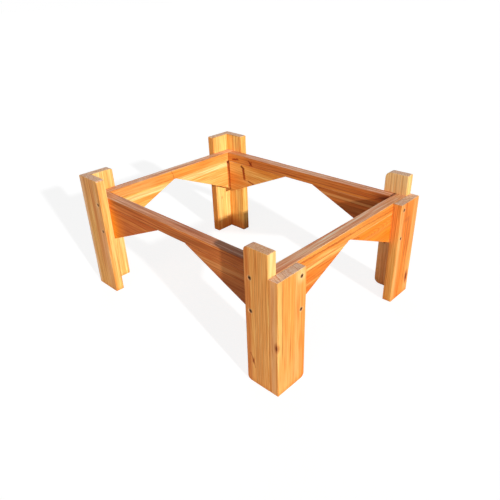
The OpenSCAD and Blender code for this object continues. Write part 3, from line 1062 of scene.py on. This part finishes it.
NECK = SINK + HEAD_R - SHANK_R
profile = [(HEAD_R - 0.05 - 0.25, -SINK), (HEAD_R - 0.05, -SINK - 0.12), (HEAD_R - 0.1, -SINK - 0.35),
           (SHANK_R + 0.35, -NECK + 0.2), (SHANK_R - 0.02, -NECK - 0.4)]
profile += [(SHANK_R - 0.02, -NECK - 0.4 - i * 0.45) for i in range(1, 73)]
profile += [(SHANK_R * 0.55, -LONG + 2.2), (0.3, -LONG + 0.1)]
screw_mesh = lathe(profile, depth=thread)
screw_data = bpy.data.meshes.new("screw")
screw_mesh.to_mesh(screw_data)
screw = new_object("screw", screw_data)
print("screw:", len(screw_data.polygons), "faces, lowest", round(min(v.co.z for v in screw_data.vertices) / MM, 2))

# %% [markdown]
# The cross recess is punched into the head by a tapered cross-shaped tool. In Blender the punch is a mesh of its
# own, and a Boolean modifier takes it away from the head.

# %% Punch the cross recess
RECESS_D, RECESS_W, RECESS_DEEP = 4.6, 1.1, 2.0


def tapered_bar(mesh, length, width, end_length, end_width, top, bottom):
    """A bar that narrows downwards, added to a bmesh."""
    corners = []
    for z, lx, ly in ((top, length, width), (bottom, end_length, end_width)):
        corners.append([mesh.verts.new((sx * lx / 2 * MM, sy * ly / 2 * MM, z * MM))
                        for sx, sy in ((-1, -1), (1, -1), (1, 1), (-1, 1))])
    upper, lower = corners
    mesh.faces.new(upper)
    mesh.faces.new(lower[::-1])
    for k in range(4):
        mesh.faces.new((upper[k], lower[k], lower[(k + 1) % 4], upper[(k + 1) % 4]))


for turn_by in (0, math.pi / 2):
    punch_mesh = bmesh.new()
    tapered_bar(punch_mesh, RECESS_D + 0.5, RECESS_W + 0.12, RECESS_D / 3, RECESS_W * 0.7, -SINK + 0.4,
                -SINK - RECESS_DEEP)
    bmesh.ops.rotate(punch_mesh, verts=punch_mesh.verts, matrix=Matrix.Rotation(turn_by, 3, "Z"))
    bmesh.ops.recalc_face_normals(punch_mesh, faces=punch_mesh.faces)
    punch_data = bpy.data.meshes.new("punch")
    punch_mesh.to_mesh(punch_data)
    punch = new_object("punch", punch_data)
    cutting = screw.modifiers.new("recess", "BOOLEAN")
    cutting.operation, cutting.object, cutting.solver = "DIFFERENCE", punch, "EXACT"
    bake(screw)
    bpy.data.objects.remove(punch)
print("screw with recess:", len(screw.data.polygons), "faces")

# %% [markdown]
# Zinc-plated steel is grey with a cool sheen. Driving the screw leaves the recess scratched, and wood oil and dust stay
# in it as a cloudy dirt. On top of that the recess, its deeper walls and the head's outer edge are darkened as painted
# shade, so the head reads as a dark spot with a bright rim of bare wood round it. The finish finds the recess by a
# vector that every point of the screw keeps: its place in the screw, in millimetres.

# %% Finish the screws' steel
def steel():
    material = bpy.data.materials.new("zinced_steel")
    material.use_nodes = True
    material.node_tree.nodes.clear()
    m = Maker(material.node_tree)
    x, y, z = m.split(m.node("ShaderNodeAttribute", {"attribute_name": "in_screw"}).out("Vector"))
    cloud = m.noise(m.join(x / 1.5, y / 1.5, z / 1.5), detail=4.0, roughness=0.65)
    scratch = m.noise(m.join(x / 0.25, y / 0.25, z / 2.5), detail=2.0)
    radius = m.math("SQRT", x * x + y * y)
    # painted shade in the recess, on its deeper walls and at the head's outer edge, over real dirt from the cloud
    recess = m.ramp(radius + (cloud - 0.5) * 1.2, RECESS_D * 0.38, RECESS_D * 0.52, 1.0, 0.0)
    deep_shade = m.ramp(-1 * z, SINK + 0.06, SINK + 0.4) * m.ramp(radius, RECESS_D * 0.5 + 0.3, HEAD_R - 0.5, 1.0, 0.0)
    rim_shade = m.ramp(radius, HEAD_R - 0.35, HEAD_R - 0.05)
    dirt_and_shade = m.most(m.most(m.ramp(cloud, 0.45, 0.7) * 0.5, recess * 0.95), m.most(deep_shade, rim_shade))
    colour = mixed(m, dirt_and_shade, linear(164, 122, 80), linear(84, 42, 6))
    height = cloud * 0.5 + scratch * 0.5
    bump = m.node("ShaderNodeBump", values={"Strength": 0.3, "Distance": 0.1 * MM, "Height": height})
    surface = m.node("ShaderNodeBsdfPrincipled", values={
        "Base Color": colour, "Roughness": 0.36 + dirt_and_shade * 0.4 + scratch * 0.1, "Metallic": 0.5 - dirt_and_shade * 0.5,
        "Normal": bump, "Specular IOR Level": 0.2})
    m.node("ShaderNodeOutputMaterial", values={"Surface": surface})
    return material


STEEL = steel()
print("steel:", len(STEEL.node_tree.nodes), "nodes")

# %% [markdown]
# A tree carries the screw to its places. Each place is a point of a small mesh that remembers which way its board
# faces. The tree lays the screw's axis on that direction and turns it by a seeded amount, as a hand leaves it.

# %% Write the tree that sets the screws
SCREW_INPUTS = (("Screw", "NodeSocketObject"), ("Turn seed", "NodeSocketInt"), ("Finish", "NodeSocketMaterial"))


def screw_tree():
    tree, m, given, first = new_tree("set_screws", SCREW_INPUTS)
    facing = m.node("GeometryNodeInputNamedAttribute", {"data_type": "FLOAT_VECTOR"}, {"Name": "facing"})
    turned = m.node("FunctionNodeAlignRotationToVector", {"axis": "Z"}, {"Vector": facing})
    spin = m.node("FunctionNodeRandomValue", {"data_type": "FLOAT"}, {
        2: 0.0, 3: math.pi / 2, "Seed": given["Turn seed"]}, output=1)
    by_hand = m.node("FunctionNodeAxisAngleToRotation", values={"Axis": (0.0, 0.0, 1.0), "Angle": spin})
    pose = m.node("FunctionNodeRotateRotation", {"rotation_space": "LOCAL"}, {
        "Rotation": turned, "Rotate By": by_hand})
    info = m.node("GeometryNodeObjectInfo", {"transform_space": "ORIGINAL"}, {
        "Object": given["Screw"]}, output="Geometry")
    info = m.node("GeometryNodeStoreNamedAttribute", {"data_type": "FLOAT_VECTOR", "domain": "POINT"}, {
        "Geometry": info, "Name": "in_screw", "Value": m.scaled(m.node("GeometryNodeInputPosition"), 1 / MM)})
    placed = m.node("GeometryNodeInstanceOnPoints", values={
        "Points": first.out("Geometry"), "Instance": info, "Rotation": pose})
    plain = m.node("GeometryNodeRealizeInstances", values={"Geometry": placed})
    done = m.node("GeometryNodeSetMaterial", values={"Geometry": plain, "Material": given["Finish"]})
    m.node("NodeGroupOutput", values={"Geometry": done})
    return tree


SCREW_TREE = screw_tree()
print("screw tree:", len(SCREW_TREE.nodes), "nodes")

# %% Find the screws' places and drill the holes
def screw_places(side, end):
    """The four (point, outward direction) pairs of the leg at side -1 or 1 and end -1 or 1."""
    half_x, half_y = HALVES["X"], HALVES["Y"]
    places = []
    for height in SCREW_HEIGHTS:
        places.append((Vector((side * half_x, end * (half_y - SCREW_FROM_CORNER), height)) * MM,
                       Vector((side, 0, 0))))
        places.append((Vector((side * (half_x - SCREW_FROM_CORNER), end * half_y, height)) * MM,
                       Vector((0, end, 0))))
    return places


LEGS = {"front_left": (-1, -1), "front_right": (1, -1), "back_left": (-1, 1), "back_right": (1, 1)}
GAP = 0.05
hole_profile = [(HEAD_R + SINK + 1 + GAP, 1.0), (SHANK_R + GAP, -NECK), (SHANK_R + GAP, -LONG)]
for leg, (side, end) in LEGS.items():
    marks = screw_places(side, end)
    points = bpy.data.meshes.new(leg)
    points.from_pydata([tuple(p) for p, d in marks], [], [])
    facing = points.attributes.new("facing", "FLOAT_VECTOR", "POINT")
    facing.data.foreach_set("vector", [c for p, d in marks for c in d])
    name = leg + "_leg_screws"
    pieces[name] = by_nodes(new_object("steel_" + name, points), SCREW_TREE, {
        "Screw": screw, "Turn seed": sum(map(ord, leg)), "Finish": STEEL})
    for kind, axis in (("side", 0), ("end", 1)):
        drill_mesh = bmesh.new()
        for place, direction in marks:
            if abs(direction[axis]) > 0.5:
                one = lathe(hole_profile)
                matrix = Matrix.Translation(place) @ direction.to_track_quat("Z", "Y").to_matrix().to_4x4()
                bmesh.ops.transform(one, matrix=matrix, verts=one.verts)
                part = bpy.data.meshes.new("bit")
                one.to_mesh(part)
                drill_mesh.from_mesh(part)
        drill_data = bpy.data.meshes.new("drill")
        drill_mesh.to_mesh(drill_data)
        drill = new_object("drill", drill_data)
        wooden = pieces[f"{leg}_leg_{kind}_board"]
        drilling = wooden.modifiers.new("holes", "BOOLEAN")
        drilling.operation, drilling.object, drilling.solver = "DIFFERENCE", drill, "MANIFOLD"
        bake(wooden)
        bpy.data.objects.remove(drill)
bpy.data.objects.remove(screw)
print("screws set:", 4 * len(LEGS), "attributes kept:", [a.name for a in wooden.data.attributes][:8])

# %% [markdown]
# Where a hole meets the board's face the edge is crisp, while the worn edges stay soft. Blender keeps both on one
# mesh: the faces are shaded smooth, and edges that turn by more than a given angle are marked sharp.

# %% Keep crisp edges crisp
CRISP = math.radians(38)
for piece in pieces.values():
    finish = piece.data.materials[-1]
    piece.data.materials.clear()
    piece.data.materials.append(finish)
    for face in piece.data.polygons:
        face.material_index = 0
        face.use_smooth = True
    piece.data.set_sharp_from_angle(angle=CRISP)
print("triangles:", sum(len(p.data.polygons) * 2 for p in pieces.values()))

# %% [markdown]
# ## Light and ground
#
# The stand was photographed in low, even daylight from its front. A soft studio does the same job: a pale dome
# lights every side, and one broad lamp gives the front its brightness and the boards their soft shadows. The
# ground is white paper that keeps only a light shadow.

# %% Light the stand
SUN_TRAVEL = Vector((0.256, 1.0, -0.385))
SUN_STRENGTH = 3.2
SUN_WIDTH = math.radians(1.5)
FILL_TRAVEL = Vector((0.93, 0.36, -0.10))
FILL_STRENGTH = 1.02
BACK_TRAVEL = Vector((-0.6, -0.8, -0.05))
BACK_STRENGTH = 1.3
FILL_WIDTH, BACK_WIDTH = math.radians(60), math.radians(60)
DOME = 0.11


def far_lamp(name, travel, strength, width):
    """A lamp as far away as the sun, which shines along travel and looks width wide."""
    lamp = bpy.data.objects.new(name, bpy.data.lights.new(name, "SUN"))
    scene.collection.objects.link(lamp)
    lamp.data.energy = strength
    lamp.data.angle = width
    lamp.rotation_euler = travel.to_track_quat("-Z", "Y").to_euler()
    return lamp


far_lamp("key", SUN_TRAVEL, SUN_STRENGTH, SUN_WIDTH)
far_lamp("fill", FILL_TRAVEL, FILL_STRENGTH, FILL_WIDTH)
far_lamp("back", BACK_TRAVEL, BACK_STRENGTH, BACK_WIDTH)

world = bpy.data.worlds.new("studio")
world.use_nodes = True
world.node_tree.nodes.clear()
scene.world = world
w = Maker(world.node_tree)
path = w.node("ShaderNodeLightPath")
seen = w.math("MAXIMUM", path.out("Is Camera Ray"), path.out("Is Transmission Ray"))
dome = w.node("ShaderNodeBackground", values={"Color": (1, 1, 1, 1), "Strength": DOME})
white = w.node("ShaderNodeBackground", values={"Color": (1, 1, 1, 1), "Strength": 1.0})
both = w.node("ShaderNodeMixShader", values={0: seen, 1: dome, 2: white})
w.node("ShaderNodeOutputWorld", values={"Surface": both})
print("lights set")

# %% Lay the ground
GROUND_SIZE = 40.0
ground_mesh = bmesh.new()
bmesh.ops.create_grid(ground_mesh, x_segments=1, y_segments=1, size=GROUND_SIZE / 2)
ground_data = bpy.data.meshes.new("ground")
ground_mesh.to_mesh(ground_data)
ground = new_object("ground", ground_data)
paper = bpy.data.materials.new("white_ground")
paper.use_nodes = True
paper.node_tree.nodes.clear()
g = Maker(paper.node_tree)
path = g.node("ShaderNodeLightPath")
spot = g.noise(g.node("ShaderNodeTexCoord").out("Object"), detail=2.0)
matt = g.node("ShaderNodeBsdfDiffuse", values={"Color": (0.72, 0.72, 0.72, 1.0)})
thin = g.node("ShaderNodeBsdfDiffuse", values={"Color": (0.28, 0.28, 0.28, 1.0)})
glow = g.node("ShaderNodeEmission", values={"Color": (1, 1, 1, 1), "Strength": 0.85})
lit = g.node("ShaderNodeAddShader", values={0: thin, 1: glow})
shown = g.node("ShaderNodeMixShader", values={0: path.out("Is Camera Ray"), 1: matt, 2: lit})
g.node("ShaderNodeOutputMaterial", values={"Surface": shown})
ground_data.materials.append(paper)
scene.view_settings.view_transform = "Standard"
print("ground laid")

# %% [markdown]
# ## Hand the pieces over
#
# Each piece stands for one node of the imported model and rides on its only body.

# %% Replace the nodes
for node, piece in pieces.items():
    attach(piece, "root")
    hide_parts(node)
    if node.endswith("screws"):
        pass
    else:
        "leg_wood" if "_leg_" in node else "brace_wood" if node.endswith("brace") else "rail_wood"
print("pieces handed over:", len(pieces))
